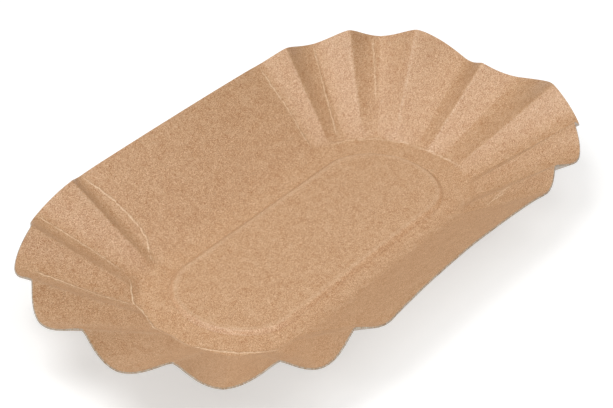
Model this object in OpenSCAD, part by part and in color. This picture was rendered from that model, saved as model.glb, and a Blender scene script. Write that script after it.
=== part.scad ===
// Pressed kraft paper food boat.
// One sheet of board is pressed into a long tray: a flat base with a raised rounded panel,
// two plain flared sides, and two round ends whose spare board is gathered into pleats.
// Lengths are in millimetres and angles in degrees. X runs along the boat and Z is up.

/* [Base] */
// Length of each long side between the two round ends
straight_l = 75; // [30:1:160]
// Width of the flat base between the two side folds
base_w = 54; // [46:0.5:110]
// Reach of the flat base past the straight part at each end
base_end_l = 28.7; // [22:0.1:60]
// Fullness of the corners of the base fold, where 2 is a plain ellipse
base_fullness = 2.5; // [2:0.1:4]

/* [Raised panel] */
// Width of the raised panel, measured to the foot of its step
panel_w = 42.8; // [20:0.1:48]
// Reach of the raised panel past the straight part at each end
panel_end_l = 20.2; // [14:0.1:24]
// Height that the panel is pressed up above the rest of the base
panel_rise = 1.1; // [0.2:0.1:3]
// Width of the sloping step round the panel
panel_step_w = 2.4; // [1:0.1:6]

/* [Walls] */
// Board from the fold to the cut edge on the long sides, along the slope
side_slant = 36.6; // [12:0.1:80]
// Board from the fold to the cut edge at the middle of each end, along the slope
end_slant = 44.1; // [12:0.1:80]
// Slope of the long sides beside the pleats, above the table
side_slope = 35.9; // [20:0.1:60]
// Slope of the ends in the hollow of a pleat, above the table
end_slope = 24.7; // [15:0.1:60]
// How much steeper the long sides stand at their middle
middle_lift = 2.4; // [0:0.1:10]
// Bend radius of the fold along the long sides
side_bend_r = 11; // [2:0.5:14]
// Bend radius of the fold round the ends
end_bend_r = 3.5; // [1.5:0.5:12]

/* [Pleats] */
// Directions of the ridges of the right end, from one side round to the other
right_ridges = [71.5, 46.5, 25, 1, -24.5, -46, -73]; // [-79:0.5:79]
// Directions of the hollows on both sides of those ridges; the first and last end the plain sides
right_hollows = [83.5, 58, 36, 9.5, -9.5, -39, -59, -84]; // [-88:0.5:88]
// Directions of the ridges of the left end, from one side round to the other
left_ridges = [75, 50.5, 26.5, 3, -22, -48, -72.5]; // [-79:0.5:79]
// Directions of the hollows on both sides of those ridges
left_hollows = [83.5, 61.5, 38.5, 16, -9.5, -34.5, -60, -86.5]; // [-88:0.5:88]
// How much steeper a ridge stands than the hollows beside it
ridge_lift = 7.8; // [2:0.2:16]
// Rounding of the ridges, where 0 is a knife edge
ridge_softness = 0.22; // [0.05:0.01:0.8]
// Sharpness of the hollows beside the fold, from 0 for a round one to 1 for a crease
fold_sharpness = 0.9; // [0:0.05:1]
// Sharpness of the hollows at the cut edge, where the board has sprung back
rim_sharpness = 0.25; // [0:0.05:1]
// How much shorter the middle ridge of the right end was pressed
short_ridge_cut = 6.5; // [0:0.1:12]
// Half width of that short stretch, in degrees round the end
short_ridge_spread = 11.5; // [5:0.5:25]

/* [Board] */
// Thickness of the board
board_t = 0.5; // [0.3:0.05:1.2]

/* [Hidden] */

kraft = [0.78, 0.62, 0.46];
// Direction of the long sides, a quarter turn from the middle of an end
quarter = 90;
half_straight = straight_l / 2;
base_r = base_w / 2;
panel_r = panel_w / 2;
// Fullness of a plain ellipse
ellipse = 2;
// Least breadth of the flat ring between the panel and the folds
least_ring = 1;

// Counts of facets in the mesh of the sheet
columns_per_facet = 5;
columns_beside_pleats = 2;
columns_per_side = 9;
rings_on_step = 5;
rings_on_bend = 5;
rings_on_wall = 5;

// Radius, in direction a, of a rounded outline with the given reaches along X and Y
function outline_r(along, across, fullness, a) =
    pow(pow(abs(cos(a)) / along, fullness) + pow(abs(sin(a)) / across, fullness), -1 / fullness);

// A value that goes from beside, on the long sides, to ahead, at the middle of an end
function round_end(beside, ahead, a) = beside + (ahead - beside) * abs(cos(a));

// Half a pleat: 1 on the ridge at s = 0 and 0 in the hollow at s = 1
function pleat_shape(s, sharpness) =
    let (
        e = ridge_softness,
        fall = (1 - sharpness) * sin(quarter * s) + sharpness * s,
        q = sqrt(fall * fall + e * e) - e
    )
    1 - q / (sqrt(1 + e * e) - e);

// Ridge shares of a column s of the way from a ridge to a hollow: beside the fold and at the rim
function shares(s) = [pleat_shape(s, fold_sharpness), pleat_shape(s, rim_sharpness)];

// A column is one line up the sheet: [end, direction, ridge shares, place along a straight side].
// End is 1 for the right end, -1 for the left end and 0 for a straight side.
function end_columns(end, ridges, hollows) =
    let (n = columns_per_facet, m = columns_beside_pleats, last = hollows[len(hollows) - 1])
    [
        for (i = [0 : m - 1]) [end, quarter + (hollows[0] - quarter) * i / m, [0, 0], 0],
        for (k = [0 : len(ridges) - 1]) each [
            for (i = [0 : n - 1])
                [end, hollows[k] + (ridges[k] - hollows[k]) * i / n, shares(1 - i / n), 0],
            for (i = [0 : n - 1])
                [end, ridges[k] + (hollows[k + 1] - ridges[k]) * i / n, shares(i / n), 0]
        ],
        for (i = [0 : m]) [end, last - (quarter + last) * i / m, [0, 0], 0]
    ];

// A straight side runs from the right end to the left one, short of both
function side_columns(side) = [
    for (i = [1 : columns_per_side])
        let (along = 1 - 2 * i / (columns_per_side + 1))
        [0, side * quarter, [0, 0], along]
];

function reversed(list) = [for (i = [len(list) - 1 : -1 : 0]) list[i]];

// All the columns, round the tray from the near left corner and back to it
COLUMNS = concat(
    reversed(side_columns(-1)),
    reversed(end_columns(1, right_ridges, right_hollows)),
    side_columns(1),
    end_columns(-1, left_ridges, left_hollows)
);

// Where the fan of a column starts, and the level direction in which it runs
function column_root(c) = [c[0] == 0 ? c[3] * half_straight : c[0] * half_straight, 0];
function column_way(c) = [c[0] == 0 ? 0 : c[0] * cos(c[1]), sin(c[1])];

// How much of the short stretch at the right end falls on a column
function short_share(c) =
    c[0] < 1 ? 0 : exp(-pow((c[1] - right_ridges[(len(right_ridges) - 1) / 2]) / short_ridge_spread, 2));

// Slope of a column t of the way from the fold to the cut edge
function column_slope(c, t) =
    round_end(side_slope, end_slope, c[1])
    + ridge_lift * (c[2][0] + (c[2][1] - c[2][0]) * t)
    + (c[0] == 0 ? middle_lift * (1 - c[3] * c[3]) : 0);

function column_slant(c) =
    side_slant + (end_slant - side_slant) * pow(cos(c[1]), 2) - short_ridge_cut * short_share(c);

function column_fold(c) = outline_r(base_end_l, base_r, base_fullness, c[1]);

function column_bend(c) = round_end(side_bend_r, end_bend_r, c[1]);

// Smooth rise of the panel step, from 0 to 1
function smooth(s) = s * s * (3 - 2 * s);

// Reach and height of the middle of the board, along one column from the panel to the cut edge
function column_profile(c) =
    let (
        slope = column_slope(c, 0),
        fold = column_fold(c),
        bend = column_bend(c),
        tangent = bend * tan(slope / 2),
        slant = column_slant(c),
        panel = min(outline_r(panel_end_l, panel_r, ellipse, c[1]), fold - tangent - least_ring)
    )
    [
        for (i = [0 : rings_on_step])
            let (s = i / rings_on_step)
            [panel - panel_step_w * (1 - s), panel_rise * smooth(1 - s)],
        for (i = [0 : rings_on_bend])
            let (a = slope * i / rings_on_bend)
            [fold - tangent + bend * sin(a), bend * (1 - cos(a))],
        for (i = [1 : rings_on_wall])
            let (t = i / rings_on_wall, s = tangent + (slant - tangent) * t, a = column_slope(c, t))
            [fold + s * cos(a), s * sin(a)]
    ];

function column_points(c) =
    let (root = column_root(c), way = column_way(c))
    [for (p = column_profile(c)) [root[0] + way[0] * p[0], root[1] + way[1] * p[0], p[1]]];

SHEET = [for (c = COLUMNS) column_points(c)];
n_columns = len(SHEET);
n_rings = len(SHEET[0]);

function unit(v) = v / norm(v);

// Upward normal of the sheet at ring j of column i, from its neighbours
function sheet_normal(i, j) =
    let (
        before = SHEET[(i + n_columns - 1) % n_columns][j],
        after = SHEET[(i + 1) % n_columns][j],
        inner = SHEET[i][max(j - 1, 0)],
        outer = SHEET[i][min(j + 1, n_rings - 1)]
    )
    j == 0 ? [0, 0, 1] : unit(cross(outer - inner, after - before));

function skin(side) = [
    for (i = [0 : n_columns - 1], j = [0 : n_rings - 1])
        SHEET[i][j] + sheet_normal(i, j) * side * board_t / 2
];

TOP = skin(1);
UNDER = skin(-1);
n_skin = n_columns * n_rings;

// The tray is centred on its own outline, with the ring round the panel on the table
EDGE_X = [for (p = concat(TOP, UNDER)) p[0]];
EDGE_Y = [for (p = concat(TOP, UNDER)) p[1]];
shift = [-(max(EDGE_X) + min(EDGE_X)) / 2, -(max(EDGE_Y) + min(EDGE_Y)) / 2, board_t / 2];
panel_centre = [0, 0, panel_rise];

POINTS = [
    for (p = TOP) p + shift,
    for (p = UNDER) p + shift,
    panel_centre + [0, 0, board_t / 2] + shift,
    panel_centre - [0, 0, board_t / 2] + shift
];

function at(i, j) = (i % n_columns) * n_rings + j;

FACES = [
    // Inside face of the tray
    for (i = [0 : n_columns - 1], j = [0 : n_rings - 2])
        each [[at(i, j), at(i, j + 1), at(i + 1, j + 1)], [at(i, j), at(i + 1, j + 1), at(i + 1, j)]],
    // Underside
    for (i = [0 : n_columns - 1], j = [0 : n_rings - 2])
        each [
            [n_skin + at(i, j), n_skin + at(i + 1, j + 1), n_skin + at(i, j + 1)],
            [n_skin + at(i, j), n_skin + at(i + 1, j), n_skin + at(i + 1, j + 1)]
        ],
    // Cut edge of the board
    for (i = [0 : n_columns - 1])
        let (a = at(i, n_rings - 1), b = at(i + 1, n_rings - 1))
        each [[a, n_skin + a, n_skin + b], [a, n_skin + b, b]],
    // Flat top and underside of the panel
    for (i = [0 : n_columns - 1]) [2 * n_skin, at(i, 0), at(i + 1, 0)],
    for (i = [0 : n_columns - 1]) [2 * n_skin + 1, n_skin + at(i + 1, 0), n_skin + at(i, 0)]
];

module tray() {
    color(kraft)
        polyhedron(points = POINTS, faces = [for (f = FACES) reversed(f)]);
}

tray();
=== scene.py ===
import math

import bpy
import numpy as np
from bpy.props import FloatProperty, FloatVectorProperty, IntProperty, PointerProperty
from mathutils import Matrix, Vector, noise


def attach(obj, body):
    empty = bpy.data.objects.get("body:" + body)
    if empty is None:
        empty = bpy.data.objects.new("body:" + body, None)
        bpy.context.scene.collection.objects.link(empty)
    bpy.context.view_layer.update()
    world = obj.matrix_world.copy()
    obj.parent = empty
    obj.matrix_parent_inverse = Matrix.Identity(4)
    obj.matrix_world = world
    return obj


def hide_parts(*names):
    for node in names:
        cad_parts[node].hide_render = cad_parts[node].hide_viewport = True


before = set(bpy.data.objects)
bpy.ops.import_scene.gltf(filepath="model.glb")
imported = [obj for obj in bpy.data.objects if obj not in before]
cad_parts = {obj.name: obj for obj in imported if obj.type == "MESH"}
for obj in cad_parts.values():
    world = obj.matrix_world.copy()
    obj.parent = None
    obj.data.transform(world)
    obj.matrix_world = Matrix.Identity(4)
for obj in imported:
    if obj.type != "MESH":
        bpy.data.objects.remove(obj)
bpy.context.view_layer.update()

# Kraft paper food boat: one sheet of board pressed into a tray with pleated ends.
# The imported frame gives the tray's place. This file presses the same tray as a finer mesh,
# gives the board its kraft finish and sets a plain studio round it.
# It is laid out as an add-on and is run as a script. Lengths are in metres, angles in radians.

bl_info = {
    "name": "Kraft Food Boat",
    "version": (1, 0, 0),
    "blender": (4, 5, 0),
    "location": "3D View > Sidebar > Food Boat",
    "description": "Presses a kraft paper food boat and sets a plain studio round it",
    "category": "Add Mesh",
}

MM = 0.001


# Properties

def length(name, description, default):
    return FloatProperty(name=name, description=description, default=default, min=0, precision=4,
                         unit="LENGTH")


def angle(name, description, degrees):
    return FloatProperty(name=name, description=description, default=math.radians(degrees),
                         subtype="ANGLE")


def angles(name, description, degrees):
    return FloatVectorProperty(name=name, description=description, size=len(degrees),
                               default=[math.radians(d) for d in degrees], unit="ROTATION")


def amount(name, description, default):
    return FloatProperty(name=name, description=description, default=default, min=0, precision=3)


def power(name, description, watts):
    return FloatProperty(name=name, description=description, default=watts, min=0, unit="POWER")


def colour(name, description, default):
    return FloatVectorProperty(name=name, description=description, size=3, min=0, max=1,
                               default=default, subtype="COLOR")


class BoatSizes(bpy.types.PropertyGroup):
    """Sizes of the pressed tray, as in the frame, with crisper end folds and rounder pleats."""

    straight_l: length("Straight length", "Length of each long side between the round ends", 0.075)
    base_w: length("Base width", "Width of the flat base between the two side folds", 0.054)
    base_end_l: length("Base end", "Reach of the flat base past the straight part", 0.0287)
    base_fullness: amount("Base fullness", "Fullness of the corners of the base fold", 2.5)
    panel_w: length("Panel width", "Width of the raised panel, to the foot of its step", 0.0428)
    panel_end_l: length("Panel end", "Reach of the panel past the straight part", 0.0202)
    panel_rise: length("Panel rise", "Height that the panel is pressed up", 0.0011)
    panel_step_w: length("Panel step", "Width of the sloping step round the panel", 0.0024)
    side_slant: length("Side slant", "Board from the fold to the cut edge on a long side", 0.0366)
    end_slant: length("End slant", "Board from the fold to the cut edge at an end", 0.0441)
    side_slope: angle("Side slope", "Slope of the long sides beside the pleats", 35.9)
    end_slope: angle("End slope", "Slope of the ends in the hollow of a pleat", 24.7)
    middle_lift: angle("Middle lift", "How much steeper the long sides stand at their middle", 2.4)
    side_bend_r: length("Side bend", "Bend radius of the fold along the long sides", 0.011)
    end_bend_r: length("End bend", "Bend radius of the fold round the ends", 0.0015)
    right_ridges: angles("Right ridges", "Directions of the ridges of the right end",
                         (71.5, 46.5, 25, 1, -24.5, -46, -73))
    left_ridges: angles("Left ridges", "Directions of the ridges of the left end",
                        (75, 50.5, 26.5, 3, -22, -48, -72.5))
    right_hollows: angles("Right hollows", "Directions of the hollows beside those ridges",
                          (83.5, 58, 36, 9.5, -9.5, -39, -59, -84))
    left_hollows: angles("Left hollows", "Directions of the hollows beside those ridges",
                         (83.5, 61.5, 38.5, 16, -9.5, -34.5, -60, -86.5))
    ridge_lift: angle("Ridge lift", "How much steeper a ridge stands than its hollows", 7.8)
    ridge_softness: amount("Ridge softness", "Rounding of the ridges, 0 for a knife edge", 0.22)
    fold_sharpness: amount("Fold sharpness", "Hollows beside the fold, 1 for a crease", 0.55)
    rim_sharpness: amount("Rim sharpness", "Hollows at the cut edge, 1 for a crease", 0.1)
    foot_depth: length("Foot depth", "How much deeper the pleats are just above the fold", 0.0006)
    foot_reach: length("Foot reach", "Where they are deepest, from the fold", 0.005)
    short_ridge_cut: length("Short ridge", "How much shorter the right middle ridge is", 0.0065)
    short_ridge_spread: angle("Short spread", "Half width of that short stretch", 11.5)
    board_t: length("Board thickness", "Thickness of the board", 0.0005)


class BoardFinish(bpy.types.PropertyGroup):
    """Colours and wear of the kraft board. The dark colour also serves as painted shade at the foot
    of the panel's step and beside the creases, and the pale one as partly painted highlight along
    the ridges.
    """

    inside: colour("Inside", "Kraft brown of the food side", (0.560, 0.335, 0.185))
    inside_pale: colour("Pale fibres", "Pale fibres and rubbed creases", (0.720, 0.520, 0.350))
    inside_dark: colour("Dark fibres", "Dark fibres and bark specks", (0.260, 0.130, 0.060))
    crack: colour("Crack", "Torn fibres along a cracked crease", (0.900, 0.700, 0.480))
    underside: colour("Underside", "Greyer back of the board", (0.370, 0.290, 0.215))
    cut_edge: colour("Cut edge", "Grey core that shows along the cut edge", (0.400, 0.320, 0.240))
    grain: amount("Grain", "Strength of the mottling and the fibres", 1.0)
    warp: length("Warp", "How far the pressed board strays from true", 0.00022)
    welt: length("Welt", "Height of the pinched welt on each ridge", 0.00016)
    welt_w: length("Welt width", "Half width of that welt", 0.0007)
    seed: IntProperty(name="Seed", description="Seed of the warp and of the rim", default=11)


class Studio(bpy.types.PropertyGroup):
    """Camera, floor and lights."""

    azimuth: angle("Azimuth", "Direction from which the camera looks", -55.545)
    elevation: angle("Elevation", "Height of the camera above the horizon", 34.408)
    roll: angle("Roll", "Turn of the camera about its own axis", 3.83)
    distance: length("Distance", "From the camera to the point that it looks at", 0.6686)
    target_x: FloatProperty(name="Target X", description="Point looked at, along the boat",
                            default=0.0165, unit="LENGTH", precision=4)
    target_y: FloatProperty(name="Target Y", description="Point looked at, across the boat",
                            default=0.0131, unit="LENGTH", precision=4)
    lens: FloatProperty(name="Focal length", description="Focal length on a 36 mm sensor",
                        default=122.27, subtype="DISTANCE_CAMERA")
    left: power("Left light", "Soft box high on the left", 5.25)
    left_low: power("Lower left light", "Soft box under that one", 1.42)
    front: power("Front light", "Soft box high on the right of the camera", 2.5)
    right: power("Right light", "Soft box on the right of the camera", 2.32)
    top: power("Top light", "Soft box over the tray", 0.98)
    low: power("Low light", "Soft box under the camera", 1.26)
    back: power("Back light", "Low soft box behind the tray", 0.79)
    side: power("Side light", "Low soft box past the right end of the tray", 0.51)
    lamp_distance: length("Lamp distance", "From the tray to each soft box", 1.0)
    lamp_size: length("Lamp size", "Side of each square soft box", 0.5)
    floor: colour("Floor", "Pale floor", (0.62, 0.62, 0.615))
    floor_glow: amount("Floor glow", "Light that the floor gives off like a light table", 0.5)


# Cracked creases of the board: how strongly each shows, in its pale crack and in the painted shadow
# beside it, and the line that it follows on the flat blank, in millimetres from the middle of the
# tray.
CREASES = (
    (0.85, ((-45, 63.5), (-42.8, 59), (-40.2, 52), (-39, 46), (-38.4, 40), (-39.2, 36), (-42, 32),
           (-43.6, 29))),
    (0.8, ((-69.8, 59.3), (-65.3, 51), (-60.6, 42), (-55.7, 31))),
    (1.0, ((-88.5, 41.8), (-81.3, 35), (-73.3, 26.4), (-62.4, 19))),
    (0.4, ((-98, 6.5), (-88, 6), (-77, 3.5))),
    (1.0, ((-55, 29.5), (-59.5, 24.5), (-62.6, 20), (-63, 16.5), (-65.5, 12), (-67.6, 7.5),
           (-68.4, 2.5), (-68, -2), (-66.4, -6))),
    (0.9, ((-66.8, -5), (-64.2, -11), (-60.2, -18), (-55, -23.5), (-50.4, -28))),
    (0.7, ((45.6, 63.4), (44.2, 55.6), (43.7, 49.5), (42.8, 44), (40.6, 36), (39.8, 30))),
    (0.7, ((73.2, 57.6), (66, 47.7), (58.4, 37.5), (51.5, 28))),
    (0.5, ((92.8, 43.8), (85.8, 37.8), (73.5, 27.6))),
    (0.5, ((43.8, 28.6), (53.3, 25.3), (61.4, 18.5), (65.8, 9.5), (67.2, 0), (66.8, -8.5),
           (65, -16.5))),
    (0.8, ((48.7, -44.7), (46.5, -41.7), (43.7, -39))),
    (0.7, ((51.4, -45.5), (48.9, -42.6), (47, -40.4))),
    (0.6, ((53.2, -42.4), (51.2, -40.1), (49.9, -37.6))),
    (0.6, ((61.5, -47.6), (59.4, -45.3), (57.5, -43.8))),
)


# Form of the tray

# Counts of facets in the mesh
STEP_RINGS = 12
FLAT_RINGS = 4
BEND_RINGS = 14
WALL_RINGS = 36
PLEAT_COLUMNS = 17
CORNER_COLUMNS = 5
SIDE_COLUMNS = 44
# Shares of the way from the middle of the panel to its step, at which the panel has a ring
PANEL_RINGS = np.array([0.15, 0.55, 0.85])
# How far the rings of the wall crowd towards the fold, and the columns of a pleat to its creases
WALL_CROWDING = 1.25
PLEAT_CROWDING = 0.09
# Edges that turn by more than this are shaded as sharp ones
SHARP_TURN = math.radians(60)

# Least breadth of the flat ring between the panel and the folds
LEAST_RING = 0.001
# The step falls over the middle of its width: a smooth fall of the first less the second times
# the share of the width
STEP_START, STEP_FALL = 1.2, 1.3
# Share of the way up that the bend of the fold takes
BEND_SHARE = 0.06
# Angle kept for a column that belongs to no ridge
NO_RIDGE = 1
# The foot of the pleats: where it starts, where it fades in foot reaches, over how many, and how
# much of its depth goes into the hollows
FOOT_START, FOOT_FADE, FOOT_FADE_LENGTH, FOOT_HOLLOW = 0.03, 5, 3, 0.35
# Lumps per metre of the warp and of the small buckles, and the buckles' share of the warp
WARP_LUMPS, BUCKLE_LUMPS, BUCKLE_SHARE = 45, 160, 0.22
# Share of the wall over which the warp and the welts set in
WARP_RISE, WELT_RISE = 1 / 2.5, 1 / 3

# Distance in millimetres kept where no ridge or crease is near
FAR_OFF = 50.0
# A crease shows up to this many millimetres away, and it fades at the ends of its line
CREASE_REACH, CREASE_SOFTNESS, CREASE_END = 4.8, 2, 1 / 9
# What the centre of each face keeps in the two sets of marks
CENTRE_MARKS = (FAR_OFF, -1, 60)
CENTRE_CREASES = (FAR_OFF, 0, -20)


def outline_r(along, across, fullness, a):
    """Radius, in direction a, of a rounded outline with the given reaches along X and Y."""
    share = (np.abs(np.cos(a)) / along) ** fullness + (np.abs(np.sin(a)) / across) ** fullness
    return share ** (-1 / fullness)


def round_end(beside, ahead, a):
    """A value that goes from beside, on the long sides, to ahead, at the middle of an end."""
    return beside + (ahead - beside) * np.abs(np.cos(a))


def smooth(s):
    s = np.clip(s, 0, 1)
    return s * s * (3 - 2 * s)


class Columns:
    """The lines up the sheet, round the tray from its near left corner and back to it."""

    def __init__(self, sizes):
        self.sizes = sizes
        runs = (self.side(-1), self.round(1, sizes.right_ridges, sizes.right_hollows)[::-1],
                self.side(1), self.round(-1, sizes.left_ridges, sizes.left_hollows))
        self.end, self.a, self.ridge, self.rim_ridge, self.place, self.gap = np.vstack(runs).T

    def side(self, side):
        """A straight side, from the left end to the right one where side is -1."""
        along = side * (1 - 2 * np.arange(1, SIDE_COLUMNS + 1) / (SIDE_COLUMNS + 1))
        return [(0, side * math.pi / 2, 0, 0, place, NO_RIDGE) for place in along]

    def round(self, end, ridges, hollows):
        """A round end, from its far corner to its near one."""
        quarter, first, last = math.pi / 2, hollows[0], hollows[-1]
        corner = np.arange(CORNER_COLUMNS + 1) / CORNER_COLUMNS
        rows = [(end, quarter + (first - quarter) * t, 0, 0, 0, NO_RIDGE) for t in corner[:-1]]
        steps = np.arange(PLEAT_COLUMNS) / PLEAT_COLUMNS
        steps = steps - PLEAT_CROWDING * np.sin(2 * math.pi * steps)
        for k, ridge in enumerate(ridges):
            up, down = hollows[k] - ridge, hollows[k + 1] - ridge
            rows += [(end, ridge + up * (1 - t), *self.pleat(1 - t), 0, up * (1 - t))
                     for t in steps]
            rows += [(end, ridge + down * t, *self.pleat(t), 0, down * t) for t in steps]
        rows += [(end, last - (quarter + last) * t, 0, 0, 0, NO_RIDGE) for t in corner]
        return np.array(rows)

    def pleat(self, s):
        """Half a pleat, beside the fold and at the rim: 1 on the ridge and 0 in the hollow."""
        e, sharp = self.sizes.ridge_softness, (self.sizes.fold_sharpness, self.sizes.rim_sharpness)
        falls = [(1 - k) * math.sin(math.pi / 2 * s) + k * s for k in sharp]
        return [1 - (math.hypot(fall, e) - e) / (math.hypot(1, e) - e) for fall in falls]

    def root(self):
        """Where the fan of each column starts."""
        along = np.where(self.end == 0, self.place, self.end) * self.sizes.straight_l / 2
        return np.stack([along, np.zeros_like(along)], 1)

    def way(self):
        """The level direction in which each column runs."""
        return np.stack([self.end * np.cos(self.a), np.sin(self.a)], 1)

    def slope(self, t):
        """Slope of each column, a share t of the way from the fold to the cut edge."""
        s = self.sizes
        ridge = self.ridge[:, None] + (self.rim_ridge - self.ridge)[:, None] * t
        middle = np.where(self.end == 0, s.middle_lift * (1 - self.place ** 2), 0)[:, None]
        return round_end(s.side_slope, s.end_slope, self.a)[:, None] + s.ridge_lift * ridge + middle

    def slant(self):
        s = self.sizes
        middle = s.right_ridges[len(s.right_ridges) // 2]
        off = (self.a - middle) / s.short_ridge_spread
        short = np.where(self.end > 0, np.exp(-off ** 2), 0)
        return (s.side_slant + (s.end_slant - s.side_slant) * np.cos(self.a) ** 2
                - s.short_ridge_cut * short)


class Sheet:
    """The middle of the pressed board: points by column and ring, and what lies where on it."""

    def __init__(self, sizes, finish):
        self.columns = columns = Columns(sizes)
        reach, height, self.up = self.profile(sizes, columns)
        root, way = columns.root()[:, None], columns.way()[:, None]
        self.points = np.dstack([root + way * reach[..., None], height])
        walk = np.hypot(np.diff(reach, axis=1), np.diff(height, axis=1))
        self.walk = np.hstack([reach[:, :1], reach[:, :1] + np.cumsum(walk, axis=1)])
        self.flat = root + way * self.walk[..., None]
        self.rim_gap = self.walk[:, -1:] - self.walk
        self.ridge_gap = columns.gap[:, None] * reach
        self.panel_gap = reach - reach[:, 3 + STEP_RINGS:4 + STEP_RINGS]
        self.points += self.normals() * (self.foot(sizes) + self.wear(finish))[..., None]

    def profile(self, s, columns):
        """Reach, height and share up the wall of each column, from the panel to the cut edge."""
        slope, bend = columns.slope(0), round_end(s.side_bend_r, s.end_bend_r, columns.a)
        fold = outline_r(s.base_end_l, s.base_w / 2, s.base_fullness, columns.a)[:, None]
        bend, slant = bend[:, None], columns.slant()[:, None]
        tangent = bend * np.tan(slope / 2)
        panel_r = outline_r(s.panel_end_l, s.panel_w / 2, 2, columns.a)[:, None]
        panel_r = np.minimum(panel_r, fold - tangent - LEAST_RING)
        t, flat = np.linspace(0, 1, STEP_RINGS + 1), np.zeros_like(slope)
        inner = panel_r - s.panel_step_w
        core, fall = inner * PANEL_RINGS, smooth(STEP_START - STEP_FALL * t)
        parts = [
            (core, s.panel_rise + 0 * core, -1 + 0 * core),
            (inner + s.panel_step_w * t, s.panel_rise * fall + flat, t - 1 + flat),
        ]
        t = np.arange(1, FLAT_RINGS + 1) / (FLAT_RINGS + 1)
        parts.append((panel_r + (fold - tangent - panel_r) * t, 0 * t + flat, 0 * t + flat))
        t = np.linspace(0, 1, BEND_RINGS + 1)
        turn = slope * t
        parts.append((fold - tangent + bend * np.sin(turn), bend * (1 - np.cos(turn)),
                      BEND_SHARE * t + flat))
        t = (np.arange(1, WALL_RINGS + 1) / WALL_RINGS) ** WALL_CROWDING
        run, slope = tangent + (slant - tangent) * t, columns.slope(t)
        parts.append((fold + run * np.cos(slope), run * np.sin(slope),
                      BEND_SHARE + (1 - BEND_SHARE) * t + flat))
        return [np.hstack(kind) for kind in zip(*parts)]

    def normals(self):
        """Upward normals, from each point's neighbours."""
        p = self.points
        along = np.roll(p, -1, 0) - np.roll(p, 1, 0)
        out = np.empty_like(p)
        out[:, 1:-1] = p[:, 2:] - p[:, :-2]
        out[:, 0], out[:, -1] = p[:, 1] - p[:, 0], p[:, -1] - p[:, -2]
        n = np.cross(out, along)
        return n / np.linalg.norm(n, axis=2, keepdims=True)

    def noise(self, scale, seed):
        """Smooth noise over the flat blank, with scale lumps per metre."""
        spots = np.dstack([self.flat * scale, np.full(self.flat.shape[:2], seed * 7.3)])
        flat = spots.reshape(-1, 3).tolist()
        return np.array([noise.noise(Vector(p)) for p in flat]).reshape(self.flat.shape[:2])

    def foot(self, sizes):
        """How much the ridges stand out and the hollows fall in, just above the fold."""
        gone = np.clip(self.up - FOOT_START, 0, 1) * sizes.end_slant / sizes.foot_reach
        swell = gone * np.exp(1 - gone) * (1 - smooth((gone - FOOT_FADE) / FOOT_FADE_LENGTH))
        pleated = (self.columns.gap != NO_RIDGE)[:, None]
        return (self.columns.ridge[:, None] - FOOT_HOLLOW) * swell * sizes.foot_depth * pleated

    def wear(self, finish):
        """How far the board strays from true: a soft warp, small buckles and pinched ridges."""
        warp = self.noise(WARP_LUMPS, finish.seed)
        warp += self.noise(BUCKLE_LUMPS, finish.seed + 1) * BUCKLE_SHARE
        pinch = np.exp(-(self.ridge_gap / finish.welt_w) ** 2) * (self.columns.end != 0)[:, None]
        return (warp * finish.warp * smooth(self.up / WARP_RISE)
                + pinch * finish.welt * smooth(self.up / WELT_RISE))


def crease_marks(spots):
    """Signed gap from each spot of the blank to its nearest crease, and how that one shows."""
    gap, show = np.full(spots.shape[:2], FAR_OFF), np.zeros(spots.shape[:2])
    for strength, line in CREASES:
        start, step = np.array(line[:-1], float), np.diff(np.array(line, float), axis=0)
        off = spots[:, :, None] - start
        share = np.clip((off * step).sum(3) / (step ** 2).sum(1), 0, 1)
        apart = np.linalg.norm(off - share[..., None] * step, axis=3)
        side = np.where(step[:, 0] * off[..., 1] < step[:, 1] * off[..., 0], -1, 1)
        nearest = apart.argmin(2)[..., None]
        apart, side, share = (np.take_along_axis(part, nearest, 2)[..., 0]
                              for part in (apart, side, share))
        run = (nearest[..., 0] + share) / len(step)
        closer = apart < np.abs(gap)
        gap = np.where(closer, apart * side, gap)
        ends = smooth(np.minimum(run, 1 - run) / CREASE_END)
        show = np.where(closer, strength * ends, show)
    return np.dstack([gap, show * smooth((CREASE_REACH - np.abs(gap)) / CREASE_SOFTNESS)])


def tray_mesh(sheet, thickness):
    """Closes the sheet into a board with an inside face, an underside and a cut edge."""
    n_columns, n_rings = sheet.points.shape[:2]
    offset = sheet.normals() * thickness / 2
    top, under = sheet.points + offset, sheet.points - offset
    centres = [side[:, 0].mean(0) for side in (top, under)]
    points = np.vstack([top.reshape(-1, 3), under.reshape(-1, 3), centres])
    low, high = points.min(0), points.max(0)
    points -= ((low + high) / 2 * [1, 1, 0]) + [0, 0, low[2]]
    column = np.arange(n_columns)[:, None] * n_rings
    after = np.roll(column, -1, 0)
    ring = np.arange(n_rings - 1)[None]
    quads = np.stack([column + ring, column + ring + 1, after + ring + 1, after + ring], 2)
    quads = quads.reshape(-1, 4)
    skin, last = n_columns * n_rings, n_rings - 1
    edge = np.hstack([column + last, skin + column + last, skin + after + last, after + last])
    caps = np.hstack([column, after])
    faces = [*quads[:, ::-1].tolist(), *(quads + skin).tolist(), *edge[:, ::-1].tolist()]
    faces += [[2 * skin, b, a][::-1] for a, b in caps.tolist()]
    faces += [[2 * skin + 1, skin + b, skin + a] for a, b in caps.tolist()]
    kinds = np.repeat([0, 1, 2, 0, 1], [len(quads), len(quads), len(edge), len(caps), len(caps)])
    mesh = bpy.data.meshes.new("kraft_tray")
    mesh.from_pydata(points.tolist(), [], faces)
    mesh.polygons.foreach_set("material_index", kinds)
    mesh.polygons.foreach_set("use_smooth", [True] * len(faces))
    mesh.set_sharp_from_angle(angle=SHARP_TURN)
    return mesh


def mark(mesh, name, grid, pole):
    """Stores three numbers a point on both faces of the board, and pole at the two centres."""
    values = np.vstack([grid.reshape(-1, 3), grid.reshape(-1, 3), [pole, pole]])
    layer = mesh.attributes.new(name, "FLOAT_VECTOR", "POINT")
    layer.data.foreach_set("vector", values.ravel())


# Finish of the board

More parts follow.
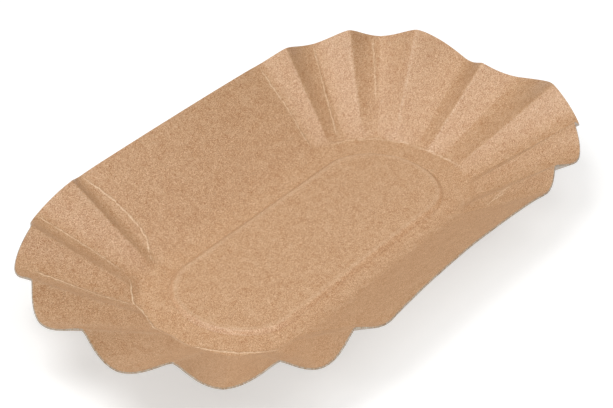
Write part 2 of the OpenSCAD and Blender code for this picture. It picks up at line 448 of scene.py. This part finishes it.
class Shade:
    """A value in a material, on which plain expressions add Math nodes."""

    def __init__(self, finish, socket):
        self.finish = finish
        self.socket = socket

    def maths(self, operation, *values):
        return self.finish.node("ShaderNodeMath", {"operation": operation}, dict(enumerate(values)))

    def __add__(self, other):
        return self.maths("ADD", self, other)

    def __radd__(self, other):
        return self.maths("ADD", other, self)

    def __sub__(self, other):
        return self.maths("SUBTRACT", self, other)

    def __rsub__(self, other):
        return self.maths("SUBTRACT", other, self)

    def __mul__(self, other):
        return self.maths("MULTIPLY", self, other)

    def __rmul__(self, other):
        return self.maths("MULTIPLY", other, self)

    def __abs__(self):
        return self.maths("ABSOLUTE", self)


class Board:
    """The node tree of one face of the board. Distances on the board are in millimetres."""

    def __init__(self, name):
        self.material = bpy.data.materials.new(name)
        self.material.use_nodes = True
        self.tree = self.material.node_tree
        self.tree.nodes.clear()

    def node(self, kind, settings=None, inputs=None, output=0):
        """Adds a node, sets its settings and then its sockets, and returns one output."""
        made = self.tree.nodes.new(kind)
        for name, value in (settings or {}).items():
            setattr(made, name, value)
        for name, value in (inputs or {}).items():
            if isinstance(value, Shade):
                self.tree.links.new(value.socket, made.inputs[name])
            else:
                made.inputs[name].default_value = value
        return Shade(self, made.outputs[output]) if made.outputs else None

    def attribute(self, name):
        return self.node("ShaderNodeAttribute", {"attribute_name": name}, output="Vector")

    def parts(self, vector):
        """The three numbers of a vector."""
        split = self.node("ShaderNodeSeparateXYZ", inputs={"Vector": vector}).socket.node
        return [Shade(self, socket) for socket in split.outputs]

    def place(self, vector, turn, scale, shift=(0, 0, 0)):
        """A vector turned, stretched and moved."""
        return self.node("ShaderNodeMapping", {"vector_type": "POINT"},
                         {"Vector": vector, "Rotation": (0, 0, turn), "Scale": scale,
                          "Location": shift})

    def noise(self, vector, scale, detail=2.0, roughness=0.5):
        """Smooth noise from about -1 to 1, with lumps of 1 / scale millimetres."""
        made = self.node("ShaderNodeTexNoise", {"noise_dimensions": "3D"},
                         {"Vector": vector, "Scale": scale, "Detail": detail,
                          "Roughness": roughness}, output="Fac")
        return (made - 0.5) * 3.2

    def band(self, value, start, stop):
        """0 before start, 1 after stop, and smooth between."""
        return self.node("ShaderNodeMapRange", {"interpolation_type": "SMOOTHSTEP"},
                         {"Value": value, "From Min": start, "From Max": stop})

    def mix(self, share, a, b, kind="MIX"):
        """Colour a with a share of b laid over it."""
        colours = {6: a, 7: b}
        for key, value in colours.items():
            if not isinstance(value, Shade):
                colours[key] = (*value, 1)
        return self.node("ShaderNodeMix", {"data_type": "RGBA", "blend_type": kind},
                         {0: share, **colours}, output=2)

    def felt(self, sheet, turn, seed):
        """One layer of short matted fibres, from about -0.7 to 0.7."""
        laid = self.place(sheet, turn, (2.7, 5.6, 1), (0, 0, seed))
        return self.noise(laid, 1.0, 1.5, 0.7) * 0.72

    def fibres(self, sheet, turn, seed, fineness):
        """Thin fibres that run roughly one way: 1 on a fibre and 0 beside it."""
        bent = self.node("ShaderNodeTexNoise", {"noise_dimensions": "3D"},
                         {"Vector": sheet, "Scale": 0.35, "Detail": 1.0}, output="Color")
        pushed = self.node("ShaderNodeVectorMath", {"operation": "MULTIPLY_ADD"},
                           {0: bent, 1: (2.6, 2.6, 0), 2: sheet})
        laid = self.place(pushed, turn, (0.55 * fineness, 5.0 * fineness, 1), (0, 0, seed))
        ridge = self.node("ShaderNodeTexNoise", {"noise_dimensions": "3D"},
                          {"Vector": laid, "Scale": 1.0, "Detail": 1.0}, output="Fac")
        return self.band(ridge, 0.60, 0.72)

    def specks(self, sheet, turn, seed, scale, share):
        """Short dark shives, in a share of the cells of a scattered grid."""
        laid = self.place(sheet, turn, (scale, scale * 2.6, 1), (0, 0, seed))
        settings = {"voronoi_dimensions": "3D", "feature": "F1"}
        inputs = {"Vector": laid, "Scale": 1.0}
        spot = self.node("ShaderNodeTexVoronoi", settings, inputs, "Distance")
        dice = self.node("ShaderNodeTexVoronoi", settings, inputs, "Color")
        chosen = self.band(self.parts(dice)[0], share + 0.01, share)
        return chosen * self.band(spot, 0.17, 0.08)

    def finish(self, base, roughness, height, depth):
        """Joins the colour, the roughness and the bump to the shader."""
        bump = self.node("ShaderNodeBump", inputs={"Strength": 1.0, "Distance": depth,
                                                   "Height": height})
        shader = self.node("ShaderNodeBsdfPrincipled",
                           inputs={"Base Color": base, "Roughness": roughness, "Normal": bump,
                                   "Specular IOR Level": 0.5})
        self.node("ShaderNodeOutputMaterial", inputs={"Surface": shader})
        return self.material


def board_face(name, base, look, wear_and_shading):
    """One face of the board: mottled, fibrous and cracked pale on its creases, with a pale band
    along the top of the panel's step, pale ridges that are part wear and part painted highlight,
    and painted shade at the foot of the step and beside each crease.
    """
    board = Board(name)
    sheet = board.attribute("sheet")
    ridge, up, rim = board.parts(board.attribute("marks"))
    crease, show, panel = board.parts(board.attribute("creases"))
    cloud = board.noise(sheet, 0.22, 3.0, 0.55)
    mottle = board.noise(sheet, 0.9, 3.0, 0.6)
    grain = board.felt(sheet, 0.5, 2.2) + board.felt(sheet, -0.9, 4.6)
    pale = board.fibres(sheet, 0.5, 3.1, 1.0) + board.fibres(sheet, -0.9, 8.4, 1.2)
    dark = board.fibres(sheet, 2.1, 5.7, 1.3)
    shives = board.specks(sheet, 0.8, 1.3, 0.42, 0.16) + board.specks(sheet, -0.6, 6.1, 0.9, 0.10)
    tone = look.grain * (cloud * 0.13 + mottle * 0.16 + grain * 1.08)
    tint = board.node("ShaderNodeCombineXYZ",
                      inputs={0: 1 + tone * 0.62, 1: 1 + tone, 2: 1 + tone * 1.4})
    body = board.mix(1.0, base, tint, "MULTIPLY")
    body = board.mix(pale * (0.30 * look.grain), body, look.inside_pale)
    body = board.mix(dark * (0.26 * look.grain), body, look.inside_dark)
    body = board.mix(shives * (0.45 * look.grain), body, look.inside_dark)
    wander = board.noise(sheet, 0.55, 2.0)
    # Painted shade: a dark line in the concave foot of the panel's step; then a pale band along the
    # top of that step
    foot = board.band(abs(panel + 0.35 + wander * 0.1), 0.55, 0.1)
    edge = board.band(abs(panel + 2.3 + wander * 0.3), 1.3, 0.2)
    body = board.mix(foot * (0.16 * wear_and_shading), body, look.inside_dark)
    body = board.mix(edge * (0.26 * wear_and_shading), body, look.inside_pale)
    crack = board.band(abs(crease + wander * 0.45), 0.40, 0.10) * show
    crack = crack * board.band(board.noise(sheet, 0.9, 4.0), -1.1, 0.35) * 0.95
    # Painted shadow: a dark line just beside each crease
    shade = board.band(abs(crease - 0.45 + wander * 0.45), 0.5, 0.1) * show
    body = board.mix(shade * (0.20 * wear_and_shading), body, look.inside_dark)
    # A pale line along each ridge, part wear and part painted highlight
    ridge_rub_and_highlight = board.band(abs(ridge + wander * 0.2), 1.1, 0.1) * board.band(up, 0.02, 0.3)
    ridge_wear_and_highlight = ridge_rub_and_highlight * board.band(board.noise(sheet, 1.1, 3.0), -0.6, 0.9) * 0.45
    body = board.mix(ridge_wear_and_highlight * wear_and_shading, body, look.inside_pale)
    body = board.mix(crack * wear_and_shading, body, look.crack)
    rough_rim = rim + grain * 0.10
    body = board.mix(board.band(rough_rim, 0.30, 0.05) * 0.22, body, look.cut_edge)
    relief = grain * 0.5 + mottle * 0.6 + (pale - dark) * 0.35 - crack * 1.2
    roughness = 0.40 + grain * 0.04 - ridge_wear_and_highlight * 0.05
    return board.finish(body, roughness, relief, 0.00004)


# Operators

# Azimuth and elevation of each soft box, in degrees
LAMPS = {"left": (-120, 66), "left_low": (-120, 42), "front": (0, 66), "right": (15, 42),
         "top": (0, 89), "low": (-60, 18), "back": (180, 18), "side": (120, 18)}
# Half the side of the floor, and the grey of the surround
FLOOR_HALF = 3.0
SURROUND = 0.9


class BOAT_OT_press_tray(bpy.types.Operator):
    """Press the kraft board tray over the frame's solid"""

    bl_idname = "boat.press_tray"
    bl_label = "Press Tray"

    def execute(self, context):
        sizes, look = context.scene.boat_sizes, context.scene.board_finish
        sheet = Sheet(sizes, look)
        mesh = tray_mesh(sheet, sizes.board_t)
        mark(mesh, "sheet", np.dstack([sheet.flat / MM, 0 * sheet.up]), (0, 0, 0))
        marks = np.dstack([sheet.ridge_gap / MM, sheet.up, sheet.rim_gap / MM])
        mark(mesh, "marks", marks, CENTRE_MARKS)
        creases = np.dstack([crease_marks(sheet.flat / MM), sheet.panel_gap / MM])
        mark(mesh, "creases", creases, CENTRE_CREASES)
        # The last number sets how strongly each face shows the creases' wear and the painted shade
        # and highlight
        mesh.materials.append(board_face("kraft_inside", tuple(look.inside), look, 0.8))
        mesh.materials.append(board_face("kraft_underside", tuple(look.underside), look, 0.2))
        mesh.materials.append(board_face("kraft_cut_edge", tuple(look.cut_edge), look, 0.0))
        tray = bpy.data.objects.new("kraft_tray", mesh)
        context.scene.collection.objects.link(tray)
        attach(tray, "root")
        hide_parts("tray")
        return {"FINISHED"}


class BOAT_OT_set_stage(bpy.types.Operator):
    """Set the camera, the pale floor and the soft studio lights"""

    bl_idname = "boat.set_stage"
    bl_label = "Set Stage"

    def execute(self, context):
        studio = context.scene.studio
        self.camera(context.scene, studio)
        self.floor(context.scene, studio)
        self.surround(context.scene)
        for name, (azimuth, elevation) in LAMPS.items():
            self.lamp(context.scene, studio, name, azimuth, elevation)
        context.scene.view_settings.view_transform = "Standard"
        return {"FINISHED"}

    def camera(self, scene, studio):
        """The camera at the photograph's viewing angle."""
        a, e, r = studio.azimuth, studio.elevation, studio.roll
        back = Vector((math.sin(a) * math.cos(e), -math.cos(a) * math.cos(e), math.sin(e)))
        right = Vector((math.cos(a), math.sin(a), 0))
        rise = back.cross(right)
        side = right * math.cos(r) + rise * math.sin(r)
        rise = rise * math.cos(r) - right * math.sin(r)
        data = bpy.data.cameras.new("camera")
        data.lens = studio.lens
        camera = bpy.data.objects.new("camera", data)
        scene.collection.objects.link(camera)
        spot = Vector((studio.target_x, studio.target_y, 0)) + back * studio.distance
        turn = Matrix((side, rise, back)).transposed().to_4x4()
        camera.matrix_world = Matrix.Translation(spot) @ turn
        scene.camera = camera

    def floor(self, scene, studio):
        """A wide pale floor under the tray."""
        mesh = bpy.data.meshes.new("floor")
        half = FLOOR_HALF
        mesh.from_pydata([(-half, -half, 0), (half, -half, 0), (half, half, 0), (-half, half, 0)],
                         [], [(0, 1, 2, 3)])
        paint = Board("pale_floor")
        shader = paint.node("ShaderNodeBsdfPrincipled",
                            inputs={"Base Color": (*studio.floor, 1), "Roughness": 0.9,
                                    "Specular IOR Level": 0.1,
                                    "Emission Color": (1, 1, 1, 1),
                                    "Emission Strength": studio.floor_glow})
        paint.node("ShaderNodeOutputMaterial", inputs={"Surface": shader})
        mesh.materials.append(paint.material)
        floor = bpy.data.objects.new("floor", mesh)
        scene.collection.objects.link(floor)

    def surround(self, scene):
        """A pale surround behind the floor, which is seen and gives no light."""
        scene.world = world = bpy.data.worlds.new("surround")
        world.color = (SURROUND,) * 3
        world.use_nodes = True
        background = world.node_tree.nodes["Background"]
        background.inputs["Color"].default_value = (*world.color, 1)
        world.cycles_visibility.diffuse = False
        world.cycles_visibility.glossy = False

    def lamp(self, scene, studio, name, azimuth, elevation):
        """A square soft box that faces the tray."""
        a, e = math.radians(azimuth), math.radians(elevation)
        back = Vector((math.sin(a) * math.cos(e), -math.cos(a) * math.cos(e), math.sin(e)))
        data = bpy.data.lights.new(name + "_box", "AREA")
        data.energy, data.size = getattr(studio, name), studio.lamp_size
        lamp = bpy.data.objects.new(name + "_box", data)
        lamp.location = back * studio.lamp_distance
        lamp.rotation_mode = "QUATERNION"
        lamp.rotation_quaternion = back.to_track_quat("Z", "Y")
        scene.collection.objects.link(lamp)


class BOAT_PT_sidebar(bpy.types.Panel):
    """Sizes, finish and studio of the food boat"""

    bl_label = "Food Boat"
    bl_idname = "BOAT_PT_sidebar"
    bl_space_type = "VIEW_3D"
    bl_region_type = "UI"
    bl_category = "Food Boat"

    def draw(self, context):
        layout = self.layout
        for group, operator in ((context.scene.boat_sizes, None),
                                (context.scene.board_finish, BOAT_OT_press_tray),
                                (context.scene.studio, BOAT_OT_set_stage)):
            box = layout.box()
            for name in type(group).__annotations__:
                box.prop(group, name)
            if operator:
                layout.operator(operator.bl_idname)


CLASSES = (BoatSizes, BoardFinish, Studio, BOAT_OT_press_tray, BOAT_OT_set_stage, BOAT_PT_sidebar)


def register():
    for part in CLASSES:
        bpy.utils.register_class(part)
    bpy.types.Scene.boat_sizes = PointerProperty(type=BoatSizes)
    bpy.types.Scene.board_finish = PointerProperty(type=BoardFinish)
    bpy.types.Scene.studio = PointerProperty(type=Studio)


def unregister():
    del bpy.types.Scene.studio, bpy.types.Scene.board_finish, bpy.types.Scene.boat_sizes
    for part in reversed(CLASSES):
        bpy.utils.unregister_class(part)


def main():
    register()
    bpy.ops.boat.press_tray()
    bpy.ops.boat.set_stage()
    bpy.context.view_layer.update()


if __name__ == "__main__":
    main()
